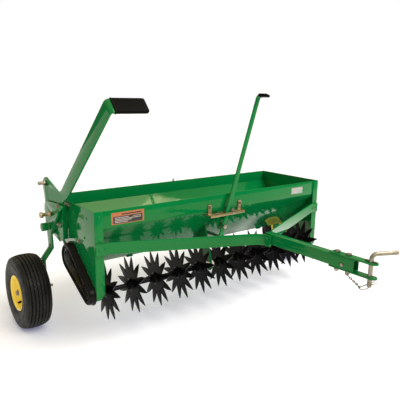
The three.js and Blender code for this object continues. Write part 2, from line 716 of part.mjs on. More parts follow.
function pivotPlate() {
  const { x, y, z } = LEVER;
  const { half, t, top, boltR } = PIVOT;
  const outline = [[x - half, top], ...arc(x, z, half, 180, 360, 8), [x + half, top]];
  const hole = circle(x, z, boltR + GAP, 12);
  part(machine, "lever_pivot_plate", green, acrossY(outline, FRONT_Y, FRONT_Y + t, [hole]));

  const face = y - LEVER.t / 2 - GAP;
  const hex = hexagon(x, z, 9);
  part(machine, "lever_pivot_bolt", zinc, join(
    rodY(boltR, face - 7, FRONT_Y + t + 9, x, z),
    acrossY(hex, face - 7, face),
    rodY(8, y + LEVER.t / 2 + GAP, FRONT_Y - GAP, x, z),
    acrossY(hex, FRONT_Y + t + GAP, FRONT_Y + t + 7),
  ));
}

function flowLever() {
  const group = bodyAt(machine, LEVER.x, LEVER.y, LEVER.z);
  group.rotation.y = radians(LEVER.lean);
  const half = LEVER.w / 2;
  const { top, t } = LEVER;
  const outline = [...arc(0, -36, half, 180, 360, 8), [half, top], [-half, top]];
  const bar = acrossY(outline, -t / 2, t / 2, [circle(0, 0, PIVOT.boltR + GAP, 12)]);
  const finger = box([-half, half], [-44, t / 2], [top - t, top]);
  part(group, "flow_lever", green, join(bar, finger));
  const grip = box([-half - 2, half + 2], [-48, -6], [top - t - 3.5, top + 4]);
  const socket = box([-half - GAP, half + GAP], [-45, 0], [top - t - GAP, top + GAP]);
  part(group, "flow_lever_grip", plastic, cut(grip, socket));
}

// The slide under the floor, with an arm that comes up in front to a fork round the lever's end.
function shutter() {
  const group = bodyAt(machine, 0, 0, 0);
  const t = 2;
  const top = FLOOR.z - GAP;
  const holes = everyOutlet((x) => circle(x, OUTLET.y, OUTLET.r, 8));
  const plate = acrossZ(rectangle(-500, 488, FLOOR.front + 6, FLOOR.rear - 6), top - t, top, holes);
  const x = LEVER.x - (LEVER.z - FORK.z + t) * Math.tan(radians(LEVER.lean));
  const line = [
    [FLOOR.front + 8, top],
    [FLOOR.front - 6, top],
    [slopeY(FORK.z) - 7, FORK.z],
    [FORK.front, FORK.z],
  ];
  const arm = acrossX(strip(line, t), HANGER_X + 4.5, HANGER_X + 26);
  const ear = acrossZ(rectangle(x - FORK.half, x + FORK.half, FORK.front, -36), FORK.z - t, FORK.z);
  const notch = box([x - FORK.notch, x + FORK.notch], [FORK.front - 5, LEVER.y + 7], [FORK.z - 9, 130]);
  part(group, "shutter", zinc, cut(join(plate, arm, ear), notch));
}

flowBracket();
stopScrew();
pivotPlate();
flowLever();
shutter();

export default aerator;
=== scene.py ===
"""The looks of a tow-behind spike aerator with a drop spreader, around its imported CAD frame.

Metres, in the frame of the CAD. Lengths in mm are turned into metres by at() and MM."""
import json
import math

import bmesh
import bpy
from mathutils import Matrix, Vector


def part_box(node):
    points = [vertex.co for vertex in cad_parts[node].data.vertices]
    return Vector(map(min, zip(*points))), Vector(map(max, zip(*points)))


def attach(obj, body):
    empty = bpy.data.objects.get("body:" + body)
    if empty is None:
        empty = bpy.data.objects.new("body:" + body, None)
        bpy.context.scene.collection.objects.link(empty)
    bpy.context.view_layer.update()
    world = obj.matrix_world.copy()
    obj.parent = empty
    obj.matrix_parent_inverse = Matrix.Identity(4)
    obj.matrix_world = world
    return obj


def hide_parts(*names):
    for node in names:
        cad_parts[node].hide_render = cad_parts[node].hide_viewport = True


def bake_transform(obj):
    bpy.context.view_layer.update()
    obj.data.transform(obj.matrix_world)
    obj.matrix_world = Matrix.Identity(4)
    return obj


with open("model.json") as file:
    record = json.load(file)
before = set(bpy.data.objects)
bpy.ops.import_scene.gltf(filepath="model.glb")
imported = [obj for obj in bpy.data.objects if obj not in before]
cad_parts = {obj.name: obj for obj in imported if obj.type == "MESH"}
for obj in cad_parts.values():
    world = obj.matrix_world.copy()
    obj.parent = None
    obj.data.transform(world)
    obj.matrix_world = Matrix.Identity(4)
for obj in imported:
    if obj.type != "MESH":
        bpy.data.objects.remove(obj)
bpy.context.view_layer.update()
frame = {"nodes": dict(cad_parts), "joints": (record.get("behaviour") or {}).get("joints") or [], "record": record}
MM = 0.001
NODES = frame["nodes"]
LEFT, FORWARD = Vector((-1, 0, 0)), Vector((0, -1, 0))


def joint_at(name):
    """Where a joint of the record is."""
    return Vector(next(j["pos_m"] for j in frame["joints"] if j["name"] == name))


AXLE = joint_at("left_gang_spin")
PIVOT = joint_at("lift_turn")
HUBS = {"left": joint_at("left_wheel_spin"), "right": joint_at("right_wheel_spin")}
FLOW_PIVOT = joint_at("flow_lever_swing")


def at(x, y, z):
    """A point given in mm from the middle of the star axle."""
    return AXLE + Vector((x, y, z)) * MM


# ------------------------------------------------------------------ camera
CAMERA_AT = at(-1116.2, -1306.9, 609.4)
CAMERA_YAW = math.radians(38.02)
CAMERA_PITCH = math.radians(12.16)
CAMERA_ROLL = math.radians(0.84)
CAMERA_LENS, SENSOR = 42.77, 36.0


def make_camera():
    """A camera that looks forward and to the right, tipped down and rolled a little."""
    data = bpy.data.cameras.new("camera")
    data.lens = CAMERA_LENS
    data.sensor_width = SENSOR
    data.clip_end = 60
    camera = bpy.data.objects.new("camera", data)
    bpy.context.scene.collection.objects.link(camera)
    ahead = Vector((
        math.sin(CAMERA_YAW) * math.cos(CAMERA_PITCH),
        math.cos(CAMERA_YAW) * math.cos(CAMERA_PITCH),
        -math.sin(CAMERA_PITCH),
    ))
    level = Vector((math.cos(CAMERA_YAW), -math.sin(CAMERA_YAW), 0))
    upright = level.cross(ahead)
    right = level * math.cos(CAMERA_ROLL) + upright * math.sin(CAMERA_ROLL)
    up = upright * math.cos(CAMERA_ROLL) - level * math.sin(CAMERA_ROLL)
    turn = Matrix((right, up, -ahead)).transposed().to_4x4()
    camera.matrix_world = Matrix.Translation(CAMERA_AT) @ turn
    bpy.context.scene.camera = camera


make_camera()


# ------------------------------------------------------------------ materials
class Graph:
    """A material's nodes, built around its Principled BSDF."""

    def __init__(self, name, base, roughness, metallic=0.0, **sockets):
        self.material = bpy.data.materials.new(name)
        self.material.use_nodes = True
        self.tree = self.material.node_tree
        self.bsdf = self.tree.nodes["Principled BSDF"]
        self.base = (*base, 1)
        self.set("Base Color", self.base)
        self.set("Roughness", roughness)
        self.set("Metallic", metallic)
        for socket, value in sockets.items():
            self.set(socket.replace("_", " "), value)
        self.where = self.tree.nodes.new("ShaderNodeTexCoord").outputs["Object"]
        self.height = None

    def set(self, socket, value):
        self.bsdf.inputs[socket].default_value = value

    def new(self, kind, **values):
        node = self.tree.nodes.new(kind)
        for key, value in values.items():
            setattr(node, key, value)
        return node

    def link(self, output, target):
        self.tree.links.new(output, target)

    def noise(self, scale, detail):
        node = self.new("ShaderNodeTexNoise")
        node.inputs["Scale"].default_value = scale
        node.inputs["Detail"].default_value = detail
        self.link(self.where, node.inputs["Vector"])
        return node.outputs["Fac"]

    def ranged(self, value, low, high, to_low, to_high):
        """Maps a value from one range to another, and holds it there."""
        node = self.new("ShaderNodeMapRange")
        for socket, number in zip(("From Min", "From Max", "To Min", "To Max"),
                                  (low, high, to_low, to_high)):
            node.inputs[socket].default_value = number
        self.link(value, node.inputs["Value"])
        return node.outputs["Result"]

    def tint(self, factor, other):
        """Blends the base colour towards another one by a factor socket."""
        mix = self.new("ShaderNodeMix", data_type="RGBA")
        self.link(factor, mix.inputs["Factor"])
        socket = self.bsdf.inputs["Base Color"]
        if socket.is_linked:
            self.link(socket.links[0].from_socket, mix.inputs[6])
        else:
            mix.inputs[6].default_value = self.base
        mix.inputs[7].default_value = (*other, 1)
        self.link(mix.outputs[2], socket)

    def rough(self, value, low, high):
        """Lets a noise move the roughness between two values."""
        self.link(self.ranged(value, 0.3, 0.7, low, high), self.bsdf.inputs["Roughness"])

    def bump(self, value, distance, strength):
        """Adds a relief, in metres, on top of those already there."""
        node = self.new("ShaderNodeBump")
        node.inputs["Distance"].default_value = distance
        node.inputs["Strength"].default_value = strength
        self.link(value, node.inputs["Height"])
        if self.height is not None:
            self.link(self.height, node.inputs["Normal"])
        self.height = node.outputs["Normal"]
        self.link(self.height, self.bsdf.inputs["Normal"])


def paint(name, base, shade, roughness, gloss, sheen=(1, 1, 1)):
    """Powder coat: orange-peel in the gloss, slow changes of tone, a little dust in places."""
    g = Graph(name, base, roughness, Specular_IOR_Level=gloss, Specular_Tint=(*sheen, 1))
    g.tint(g.ranged(g.noise(5.0, 4), 0.35, 0.7, 0.0, 0.55), shade)
    g.tint(g.ranged(g.noise(140.0, 2), 0.6, 0.85, 0.0, 0.25), tuple(c * 1.35 for c in base))
    g.rough(g.noise(26.0, 4), roughness - 0.02, roughness + 0.05)
    g.bump(g.noise(420.0, 2), 0.00006, 0.3)
    g.bump(g.noise(60.0, 1), 0.0003, 0.05)
    return g.material


def plated(name, base, stain, roughness):
    """Zinc plate: uneven tone, a fine grain and patches that are more matt."""
    g = Graph(name, base, roughness, 1.0)
    g.tint(g.ranged(g.noise(70.0, 5), 0.4, 0.75, 0.0, 0.6), stain)
    g.rough(g.noise(240.0, 3), roughness - 0.08, roughness + 0.14)
    g.bump(g.noise(600.0, 3), 0.00008, 0.5)
    return g.material


def moulded(name, base, roughness, grain, depth, gloss):
    """Moulded plastic or vinyl with a grain of its own scale and depth."""
    g = Graph(name, base, roughness, Specular_IOR_Level=gloss)
    g.tint(g.ranged(g.noise(18.0, 4), 0.4, 0.8, 0.0, 0.5), tuple(min(1, c * 1.7) for c in base))
    g.rough(g.noise(40.0, 3), roughness - 0.06, roughness + 0.1)
    g.bump(g.noise(grain, 3), depth, 0.7)
    return g.material


def rubber():
    """Tyre rubber: matt, with dusty patches here and there and a fine moulding grain."""
    g = Graph("tyre_rubber", (0.005, 0.005, 0.0046), 0.5, Specular_IOR_Level=0.2)
    g.tint(g.ranged(g.noise(22.0, 6), 0.5, 0.8, 0.0, 0.6), (0.04, 0.034, 0.025))
    g.tint(g.ranged(g.noise(7.0, 3), 0.5, 0.9, 0.0, 0.5), (0.02, 0.018, 0.015))
    g.rough(g.noise(60.0, 4), 0.4, 0.62)
    g.bump(g.noise(700.0, 2), 0.0001, 0.6)
    return g.material


GREEN = paint("green_paint", (0.001, 0.175, 0.042), (0.001, 0.135, 0.032), 0.06, 0.27,
              (1, 0.88, 0.5))
BLACK = paint("black_paint", (0.002, 0.002, 0.0022), (0.006, 0.005, 0.004), 0.26, 0.1)
YELLOW = paint("rim_paint", (1.0, 0.76, 0.1), (0.94, 0.64, 0.07), 0.25, 0.3)
ZINC = plated("zinc", (0.34, 0.31, 0.245), (0.2, 0.17, 0.13), 0.4)
GOLD_ZINC = plated("gold_zinc", (0.44, 0.33, 0.17), (0.3, 0.24, 0.19), 0.34)
GUARD = moulded("guard_plastic", (0.004, 0.004, 0.0035), 0.2, 900.0, 0.00006, 0.1)
GRIP = moulded("grip_plastic", (0.004, 0.0035, 0.003), 0.4, 1300.0, 0.00016, 0.03)
NYLON = moulded("nylon", (0.68, 0.65, 0.57), 0.45, 500.0, 0.00005, 0.5)
RUBBER = rubber()
MATERIALS = {
    "green_paint": GREEN, "black_paint": BLACK, "rim_paint": YELLOW, "zinc": ZINC,
    "gold_zinc": GOLD_ZINC, "guard_plastic": GUARD, "grip_plastic": GRIP, "nylon": NYLON,
    "tyre_rubber": RUBBER,
}


# ------------------------------------------------------------------ making meshes
SMOOTH_ANGLE = math.radians(32)


def piece(name, bm, material, body, replaces=(), bevel=0.0, segments=2,
          smooth=SMOOTH_ANGLE):
    """Turns a bmesh into a finished piece that rides on a body, or on none yet."""
    bmesh.ops.remove_doubles(bm, verts=bm.verts, dist=1e-6)
    bmesh.ops.recalc_face_normals(bm, faces=bm.faces)
    mesh = bpy.data.meshes.new(name)
    bm.to_mesh(mesh)
    bm.free()
    mesh.materials.append(material)
    obj = bpy.data.objects.new(name, mesh)
    bpy.context.scene.collection.objects.link(obj)
    round_edges(obj, bevel, segments, smooth)
    if body:
        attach(obj, body)
    if replaces:
        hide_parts(*replaces)
    return obj


def round_edges(obj, bevel, segments=2, smooth=SMOOTH_ANGLE):
    """Bevels the sharp edges, and shades the rest smoothly."""
    if bevel:
        mod = obj.modifiers.new("rounded", "BEVEL")
        mod.width = bevel
        mod.segments = segments
        mod.limit_method = "ANGLE"
        mod.angle_limit = smooth
        mod.harden_normals = False
    obj.data.polygons.foreach_set("use_smooth", [True] * len(obj.data.polygons))
    split = obj.modifiers.new("sharp", "EDGE_SPLIT")
    split.split_angle = smooth
    split.use_edge_sharp = False


def loft(bm, rings, cap_first=True, cap_last=True):
    """Joins rings of points, all of one length, with faces, and gives the rings' vertices."""
    rows = [[bm.verts.new(p) for p in ring] for ring in rings]
    count = len(rows[0])
    for a, b in zip(rows, rows[1:]):
        for i in range(count):
            j = (i + 1) % count
            bm.faces.new((a[i], a[j], b[j], b[i]))
    if cap_first:
        bm.faces.new(rows[0])
    if cap_last:
        bm.faces.new(list(reversed(rows[-1])))
    return rows


def revolve(bm, profile, centre, steps, wobble=None):
    """Turns a closed profile of (x, radius) pairs, in mm, about a line parallel to X."""
    rings = []
    for k in range(steps):
        turn = math.tau * k / steps
        ring = []
        for i, (x, r) in enumerate(profile):
            shift = wobble(i, k) if wobble else 0.0
            ring.append(centre + Vector((x + shift, r * math.sin(turn), r * math.cos(turn))) * MM)
        rings.append(ring)
    rings.append(rings[0])
    loft(bm, rings, cap_first=False, cap_last=False)


def tube(bm, path, radius, sides=12, caps=True):
    """A round bar along a list of points, in metres; the radius is in mm."""
    normal = None
    rings = []
    for i, p in enumerate(path):
        before, after = path[max(i - 1, 0)], path[min(i + 1, len(path) - 1)]
        along = (after - before).normalized()
        if normal is None:
            normal = along.orthogonal().normalized()
        normal = (normal - along * normal.dot(along)).normalized()
        side = along.cross(normal)
        rings.append([
            p + (normal * math.cos(a) + side * math.sin(a)) * radius * MM
            for a in (math.tau * k / sides for k in range(sides))
        ])
    loft(bm, rings, cap_first=caps, cap_last=caps)


def spun(points, steps):
    """A smooth line through a few points."""
    line = []
    ends = [points[0] * 2 - points[1], *points, points[-1] * 2 - points[-2]]
    for a, b, c, d in zip(ends, ends[1:], ends[2:], ends[3:]):
        for k in range(steps):
            t = k / steps
            line.append(0.5 * (
                b * 2 + (c - a) * t + (a * 2 - b * 5 + c * 4 - d) * t * t
                + (b * 3 - a - c * 3 + d) * t * t * t
            ))
    return [*line, points[-1]]


def axes_along(direction):
    """A unit vector along a direction, and two across it."""
    along = direction.normalized()
    side = along.orthogonal().normalized()
    return along, side, along.cross(side)


def bolt(bm, place, direction, across, height, turn=0.0, washer=0.0, stud=0.0):
    """A hexagon head or nut that stands on a surface, with a washer under it and a stud's end."""
    along, side, other = axes_along(direction)

    def ring(radius, lift, count, start=0.0):
        return [
            place + along * lift * MM
            + (side * math.cos(a) + other * math.sin(a)) * radius * MM
            for a in (start + math.tau * k / count for k in range(count))
        ]

    base = 0.0
    if washer:
        loft(bm, [ring(washer, 0, 20), ring(washer, 1.2, 20), ring(washer - 0.5, 1.7, 20)])
        base = 1.6
    r = across / math.sqrt(3)
    loft(bm, [
        ring(r, base, 6, turn),
        ring(r, base + height * 0.82, 6, turn),
        ring(r * 0.88, base + height, 6, turn),
    ])
    if stud:
        loft(bm, [
            ring(across * 0.29, base, 12),
            ring(across * 0.29, base + height + stud - 1, 12),
            ring(across * 0.22, base + height + stud, 12),
        ])


def dome(bm, place, direction, radius, height):
    """A round rivet or carriage-bolt head."""
    along, side, other = axes_along(direction)
    rings = []
    for share in (0.0, 0.25, 0.5, 0.72, 0.88):
        angle = share * math.pi / 2
        rings.append([
            place + along * height * math.sin(angle) * MM
            + (side * math.cos(a) + other * math.sin(a)) * radius * math.cos(angle) * MM
            for a in (math.tau * k / 16 for k in range(16))
        ])
    loft(bm, rings)


# ------------------------------------------------------------------ CAD pieces that stay
BEVEL = 0.5  # of the nodes that aren't named here
BEVELS = {
    "hopper": 0.9, "left_end_panel": 1.0, "right_end_panel": 1.0, "left_brace": 1.4,
    "right_brace": 1.4, "drawbar": 2.2, "upper_hitch_plate": 0.9, "lower_hitch_plate": 0.9,
    "lift_lever": 1.2, "left_lift_bracket": 0.9, "right_lift_bracket": 0.9, "centre_hanger": 1.0,
}


def finish_cad_nodes():
    """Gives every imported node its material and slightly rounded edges."""
    slots = {s["node"]: s["material_slot"] for s in frame["record"]["subparts"]}
    for name, obj in NODES.items():
        obj.data.materials.clear()
        obj.data.materials.append(MATERIALS[slots[name]])
        weld = obj.modifiers.new("welded", "WELD")
        weld.merge_threshold = 1e-5
        round_edges(obj, BEVELS.get(name, BEVEL) * MM)


finish_cad_nodes()


# ------------------------------------------------------------------ tyres and rims
TYRE_R, RIM_R = 127.0, 57.0
TREAD_STEPS = 200
GROOVES = (-27.5, -16.5, -5.5, 5.5, 16.5, 27.5)
GROOVE_W, GROOVE_DEPTH, SAWTOOTH = 3.0, 5.0, 1.3


def crown(x):
    """The tread's radius at a distance from the tyre's middle."""
    return TYRE_R - 0.9 - 6.0 * (abs(x) / 36) ** 2.6


def tyre_profile():
    """(x, radius, sawtooth) points from the left bead over the tread to the right bead."""
    flank = [
        (-34.0, RIM_R - 1.5), (-37.5, RIM_R + 2.5), (-40.0, RIM_R + 6), (-40.6, RIM_R + 8),
        (-39.8, RIM_R + 10), (-42.2, RIM_R + 17), (-44.0, RIM_R + 26), (-44.9, RIM_R + 35),
        (-44.9, RIM_R + 37), (-44.0, RIM_R + 38.4), (-44.2, RIM_R + 44), (-43.4, RIM_R + 51),
        (-41.4, RIM_R + 57.5), (-38.6, RIM_R + 62.3),
    ]
    left = [(x, r, 0.0) for x, r in flank]
    right = [(-x, r, 0.0) for x, r in reversed(flank)]
    tread = [(-36.0, crown(36.0), 0.0)]
    for x in GROOVES:
        lip = GROOVE_W / 2
        floor = crown(x) - GROOVE_DEPTH
        tread += [
            (x - lip - 0.6, crown(x - lip), 1.0),
            (x - lip, crown(x) - 0.9, 1.0),
            (x - lip * 0.6, floor, 0.6),
            (x + lip * 0.6, floor, 0.6),
            (x + lip, crown(x) - 0.9, 1.0),
            (x + lip + 0.6, crown(x + lip), 1.0),
        ]
    tread.append((36.0, crown(36.0), 0.0))
    inside = [(34.0, RIM_R - 1.5, 0.0), (30.0, RIM_R - 3.0, 0.0), (-30.0, RIM_R - 3.0, 0.0)]
    return left + tread + right + inside


def tyre(side):
    """A ribbed tyre with a fine sawtooth along the edges of its grooves."""
    bm = bmesh.new()
    profile = tyre_profile()

    def sawtooth(i, k):
        return profile[i][2] * SAWTOOTH * (1, 0, -1, 0)[k % 4]

    revolve(bm, [(x, r) for x, r, _ in profile], HUBS[side], TREAD_STEPS, sawtooth)
    piece(f"{side}_tyre_tread", bm, RUBBER, f"{side}_wheel", [f"{side}_tyre"],
          smooth=math.radians(38))


def rim(side):
    """Two pressed discs, bolted together, with a hub tube, a valve and bolt heads."""
    hub = HUBS[side]
    bm = bmesh.new()
    half = [
        (33.5, 6.9), (33.5, 13.0), (32.5, 14.2), (14.0, 14.4), (10.5, 17.5), (9.0, 25.0),
        (10.5, 30.0), (16.5, 36.0), (18.5, 40.5), (22.0, 46.0), (31.0, 50.0), (34.5, 51.5),
        (38.0, 54.5), (39.3, 57.0), (39.8, 59.6), (38.6, 60.6), (36.9, 59.4), (35.5, 55.5),
    ]
    profile = [(-x, r) for x, r in half] + [(-30.0, 53.5), (30.0, 53.5)]
    profile += [(x, r) for x, r in reversed(half)]
    revolve(bm, profile, hub, 72)
    piece(f"{side}_rim_discs", bm, YELLOW, f"{side}_wheel", [f"{side}_rim"],
          smooth=math.radians(40))

    bm = bmesh.new()
    outward = -1 if side == "left" else 1
    for face in (-1, 1):
        for k in range(4):
            turn = math.tau * (k + 0.5) / 4
            spot = Vector((face * 10.0, 24.5 * math.sin(turn), 24.5 * math.cos(turn)))
            bolt(bm, hub + spot * MM, Vector((face, 0, 0)), 9, 4, washer=6.2)
    piece(f"{side}_rim_bolts", bm, ZINC, f"{side}_wheel")

    bm = bmesh.new()
    turn = math.radians(160)
    foot = Vector((outward * 19.5, 44 * math.sin(turn), 44 * math.cos(turn)))
    stem = Vector((outward, 0.1 * math.sin(turn), 0.1 * math.cos(turn)))
    start = hub + foot * MM
    tube(bm, [start, start + stem * 0.009], 3.6, 14)
    tube(bm, [start + stem * 0.0088, start + stem * 0.013], 2.6, 14)
    piece(f"{side}_valve", bm, GUARD, f"{side}_wheel")

    bm = bmesh.new()
    for face in (-1, 1):
        start = hub + Vector((face * 31.0, 0, 0)) * MM
        end = hub + Vector((face * 33.8, 0, 0)) * MM
        tube(bm, [start, end], 12.4, 28)
    piece(f"{side}_hub_bearings", bm, ZINC, f"{side}_wheel", bevel=0.6 * MM)


for wheel_side in ("left", "right"):
    tyre(wheel_side)
    rim(wheel_side)


# ------------------------------------------------------------------ star wheels
SPIKES, SPIKE_R, VALLEY_R = 12, 96.0, 45.0
STAR_PITCH, STAR_OFFSET, STARS, LEFT_STARS = 94, -1, 11, 5
STAR_PHASES = (-6, -1, 8, -8, 9, -2, -14, 4, -3, 10, 11)
SLEEVE_R, SLEEVE_HALF = 15.0, 21.0
BODY_HALF_T, EDGE_HALF_T = 2.9, 1.1  # half thickness of a spike's flat and of its edge, at its root
# Steps round one spike, as shares of its pitch, and their radii.
SPIKE_OUTLINE = (
    (-0.5, VALLEY_R), (-0.335, 59.0), (-0.17, 77.0), (-0.016, SPIKE_R), (0.016, SPIKE_R),
    (0.17, 77.0), (0.335, 59.0),
)


def star_wheel(index):
    """A cast star: flat spikes that thin to their tips, on a sleeve that swells in the middle."""
    middle = at((index - (STARS - 1) / 2) * STAR_PITCH + STAR_OFFSET, 0, 0)
    phase = math.radians(STAR_PHASES[index])
    bm = bmesh.new()
    rings = []
    for half, inset in ((-1, 1.5), (-1, 0.0), (1, 0.0), (1, 1.5)):
        ring = []
        for spike in range(SPIKES):
            for share, r in SPIKE_OUTLINE:
                turn = phase + math.tau * (spike + share) / SPIKES
                radius = r - inset * (1.4 if r == SPIKE_R else 0.9)
                thin = 1.0 - 0.5 * (r - VALLEY_R) / (SPIKE_R - VALLEY_R)
                flat = (BODY_HALF_T if inset else EDGE_HALF_T) * thin
                ring.append(middle + Vector((
                    half * flat, -radius * math.sin(turn), radius * math.cos(turn),
                )) * MM)
        rings.append(ring)
    loft(bm, rings)
    sleeve = [
        (-SLEEVE_HALF, 9.0), (-SLEEVE_HALF, 13.4), (-SLEEVE_HALF + 1.2, SLEEVE_R),
        (-9.0, SLEEVE_R), (-6.0, 17.0), (-3.2, 22.0), (-1.6, 26.0), (1.6, 26.0), (3.2, 22.0),
        (6.0, 17.0), (9.0, SLEEVE_R), (SLEEVE_HALF - 1.2, SLEEVE_R), (SLEEVE_HALF, 13.4),
        (SLEEVE_HALF, 9.0),
    ]
    revolve(bm, sleeve, middle, 28)
    screw = phase + math.radians(75)
    out = Vector((0, -math.sin(screw), math.cos(screw)))
    bolt(bm, middle + Vector((14.0, 0, 0)) * MM + out * 14.4 * MM, out, 8, 4)
    body = "left_gang" if index < LEFT_STARS else "right_gang"
    piece(f"star_spikes_{index + 1}", bm, BLACK, body, [f"star_wheel_{index + 1}"],
          smooth=math.radians(28))


for star_index in range(STARS):
    star_wheel(star_index)


# ------------------------------------------------------------------ chain guard
GUARD_TOP, GUARD_LOW = (140.0, 87.0, 51.0), (0.0, 0.0, 35.0)


def guard_ring(inset, x):
    """The belt-shaped outline of the guard, drawn in by an inset, at one x."""
    (ty, tz, tr), (ly, lz, lr) = GUARD_TOP, GUARD_LOW
    tr, lr = tr - inset, lr - inset
    heading = math.atan2(lz - tz, ly - ty)
    wrap = math.acos((tr - lr) / math.hypot(ly - ty, lz - tz))
    ring = []
    for k in range(29):
        a = heading + wrap + (math.tau - 2 * wrap) * k / 28
        ring.append(at(x, ty + tr * math.cos(a), tz + tr * math.sin(a)))
    for k in range(19):
        a = heading - wrap + 2 * wrap * k / 18
        ring.append(at(x, ly + lr * math.cos(a), lz + lr * math.sin(a)))
    return ring


def chain_guard():
    """A hollow moulded cover with a foot, rounded shoulders and a sunken middle."""
    base, face = -520.5, -542.0
    outside = [
        (0.0, base), (0.0, base - 2.4), (0.8, base - 3.2), (2.6, base - 3.6), (3.2, base - 5.0),
        (3.8, face + 7.0), (5.2, face + 3.2), (8.0, face + 0.9), (11.0, face + 0.2),
        (14.0, face + 0.6), (15.4, face + 2.0), (16.6, face + 3.2), (24.0, face + 3.4),
        (25.2, face + 2.4), (26.6, face + 1.6), (29.0, face + 1.5),
    ]
    inside = [
        (29.0, face + 4.0), (9.0, face + 4.4), (6.4, face + 9.0), (5.8, base - 3.6), (2.8, base),
    ]
    bm = bmesh.new()
    rings = [guard_ring(i, x) for i, x in outside + inside]
    rows = loft(bm, rings, cap_first=False, cap_last=False)
    face_row, back_row = rows[len(outside) - 1], rows[len(outside)]
    seam = [f for f in bm.faces if all(v in face_row or v in back_row for v in f.verts)]
    bmesh.ops.delete(bm, geom=seam, context="FACES")
    bm.faces.new(list(reversed(face_row)))
    bm.faces.new(back_row)
    count = len(rows[0])
    for i in range(count):
        j = (i + 1) % count
        bm.faces.new((rows[-1][i], rows[-1][j], rows[0][j], rows[0][i]))
    piece("chain_cover", bm, GUARD, "root", ["chain_guard"],
          smooth=math.radians(50))


chain_guard()


# ------------------------------------------------------------------ grips and levers
LEAN = math.radians(48)
STRAP_UP = Vector((0, -math.sin(LEAN), math.cos(LEAN)))
STRAP_ACROSS = Vector((0, math.cos(LEAN), math.sin(LEAN)))
GRIP_HALF_W, GRIP_HALF_T, GRIP_CORNER, GRIP_RIBS = 24.6, 6.6, 3.8, 15


def rounded_rectangle(half_w, half_t, corner, steps=4):
    """The (across, up) points of a rectangle with round corners."""
    loop = []
    for sx, sy, start in ((1, 1, 0), (-1, 1, 90), (-1, -1, 180), (1, -1, 270)):
        for k in range(steps + 1):
            a = math.radians(start + 90 * k / steps)
            loop.append((sx * (half_w - corner) + corner * math.cos(a),
                         sy * (half_t - corner) + corner * math.sin(a)))
    return loop


def lever_grip():
    """A vinyl sleeve with a thick mouth, faint ribs and a rounded closed end."""
    low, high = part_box("lever_grip")
    centre = (low + high) / 2
    length = (high.x - low.x) / MM
    sections = [(0.0, -1.2), (0.6, 0.0), (4.0, 0.2), (5.0, -0.9)]
    for k in range(GRIP_RIBS):
        x = 10 + (length - 22) * k / (GRIP_RIBS - 1)
        sections += [(x - 1.6, -0.9), (x - 0.8, -0.35), (x + 0.8, -0.35), (x + 1.6, -0.9)]
    sections += [(length - 4.5, -0.9), (length - 2.0, -1.8), (length - 0.5, -3.2), (length, -4.6)]
    bm = bmesh.new()
    rings = []
    for x, grow in sections:
        loop = rounded_rectangle(GRIP_HALF_W + grow, GRIP_HALF_T + grow * 0.7,
                                 GRIP_CORNER + grow * 0.3)
        rings.append([
            Vector((low.x + x * MM, centre.y, centre.z)) + (STRAP_ACROSS * a + STRAP_UP * b) * MM
            for a, b in loop
        ])
    loft(bm, rings)
    piece("lever_sleeve", bm, GRIP, "lift", ["lever_grip"], smooth=math.radians(50))


FLOW_LEAN = math.radians(18.2)
FLOW_UP = Vector((math.sin(FLOW_LEAN), 0, math.cos(FLOW_LEAN)))
FLOW_SIDE = Vector((math.cos(FLOW_LEAN), 0, -math.sin(FLOW_LEAN)))
FLOW_TOP, FLOW_BEND, FLOW_HALF_W, FLOW_HALF_T = 492.0, 13.0, 9.0, 2.5


def flow_line(along, ahead):
    """A point along the flow lever from its pivot, and forward of it, in mm."""
    return FLOW_PIVOT + (FLOW_UP * along + FORWARD * ahead) * MM


def flow_lever():
    """A flat bar whose top turns forward round a bend and carries a small vinyl grip."""
    top = FLOW_TOP - FLOW_HALF_T
    spine = [(-45.5, 0, 0.42), (-43.0, 0, 0.8), (-38.0, 0, 1.0), (0, 0, 1.0), (120, 0, 1.0)]
    spine += [(top - FLOW_BEND - 60, 0, 1.0)]
    for k in range(9):
        a = math.radians(90 * k / 8)
        along = top - FLOW_BEND + FLOW_BEND * math.sin(a)
        spine.append((along, FLOW_BEND * (1 - math.cos(a)), 1.0))
    spine.append((top, 41, 1.0))
    rings = []
    for i, (along, ahead, width) in enumerate(spine):
        before, after = spine[max(i - 1, 0)], spine[min(i + 1, len(spine) - 1)]
        heading = (FLOW_UP * (after[0] - before[0]) + FORWARD * (after[1] - before[1])).normalized()
        out = heading.cross(FLOW_SIDE)
        rings.append([
            flow_line(along, ahead) + (FLOW_SIDE * a * width + out * b) * MM
            for a, b in rounded_rectangle(FLOW_HALF_W, FLOW_HALF_T, 0.9, 2)
        ])
    bm = bmesh.new()
    loft(bm, rings)
    piece("flow_lever_bar", bm, GREEN, "flow_lever", ["flow_lever"],
          smooth=math.radians(35))

    bm = bmesh.new()
    rings = []
    for ahead, grow in ((7, -0.8), (7.6, 0), (11, 0.1), (12, -0.5), (40, -0.5), (45, -1.2),
                        (47.4, -2.6)):
        loop = rounded_rectangle(11.2 + grow, 5.0 + grow * 0.6, 3.2 + grow * 0.4)
        rings.append([
            flow_line(top + b, ahead) + FLOW_SIDE * a * MM for a, b in loop
        ])
    loft(bm, rings)
    piece("flow_lever_sleeve", bm, GRIP, "flow_lever", ["flow_lever_grip"],
          smooth=math.radians(50))


lever_grip()
flow_lever()


# ------------------------------------------------------------------ hitch pin, clip and its chain
HITCH_Y = -633.0
PIN_LOW, PIN_TOP, PIN_BEND_R, PIN_R = 111.0, 205.0, 15.0, 6.35
HANDLE_HEADING, HANDLE_END = math.radians(-26), 79.0
CLIP_Z = 121.0
STOP_Z, STOP_R, STOP_HALF = 185.4, 2.4, 19.0


